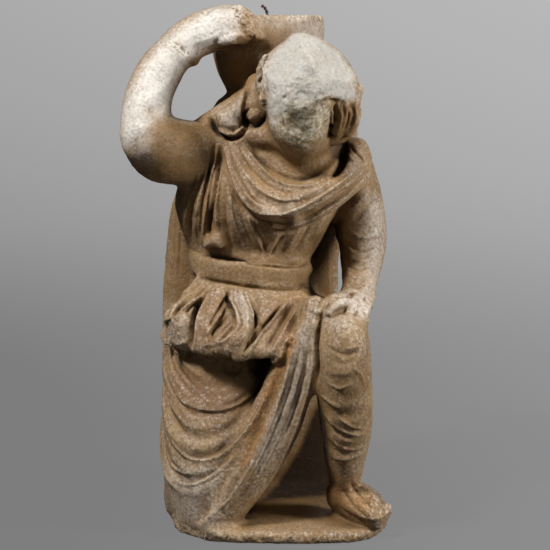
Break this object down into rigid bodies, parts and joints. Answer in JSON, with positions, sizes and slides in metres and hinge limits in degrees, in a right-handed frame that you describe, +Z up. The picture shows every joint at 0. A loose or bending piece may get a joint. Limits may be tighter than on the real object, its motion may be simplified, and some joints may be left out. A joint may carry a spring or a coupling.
{
  "type": "marble statuette",
  "caption": "Kneeling draped figure carved with its thin plinth from one block of stone, one arm raised to steady an open round vessel behind the bowed, broken head.",
  "frame": {"origin": "middle of the level underside of the plinth, on the ground plane", "axes": "+Z up; the figure faces -Y; +X is the side of its left arm and raised left knee"},
  "size_m": [0.2638, 0.2405, 0.5146],
  "materials": {
    "marble": "worn, matt, stained marble",
    "iron_wire": "dark, rusted"
  },
  "bodies": {
    "root": {"statue": "marble", "wire_hook": "iron_wire"}
  },
  "joints": []
}
